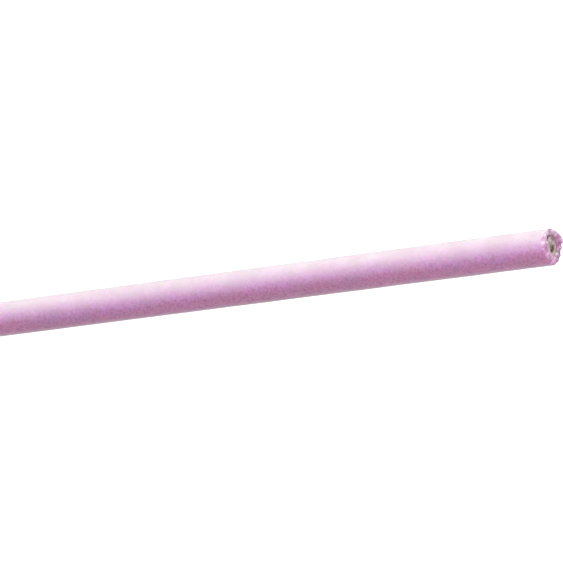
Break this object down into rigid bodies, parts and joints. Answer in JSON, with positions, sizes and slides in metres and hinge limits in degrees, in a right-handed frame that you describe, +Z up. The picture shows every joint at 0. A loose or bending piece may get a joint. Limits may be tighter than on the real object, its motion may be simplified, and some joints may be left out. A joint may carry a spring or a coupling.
{
  "type": "flux coated brazing rod",
  "caption": "Straight round brazing rod: bronze filler wire in a thick sleeve of dusty pink flux, plain at the grip end and broken and crumbled at the working end.",
  "frame": {"origin": "on the rod's axis, half way along its length", "axes": "+X along the rod towards its broken working end; the plain end by which it is held is at -X; +Z up; the lip of the break stands furthest out 13 degrees from +Y towards -Z"},
  "size_m": [0.4572, 0.0054, 0.0054],
  "materials": {
    "filler_wire": "dull bronze brazing alloy, cropped ends sheared matt and greyish",
    "flux": "matt dusty pink baked flux, deeper magenta where freshly broken"
  },
  "bodies": {
    "root": {"core_wire": "filler_wire", "flux_coating": "flux"}
  },
  "joints": []
}
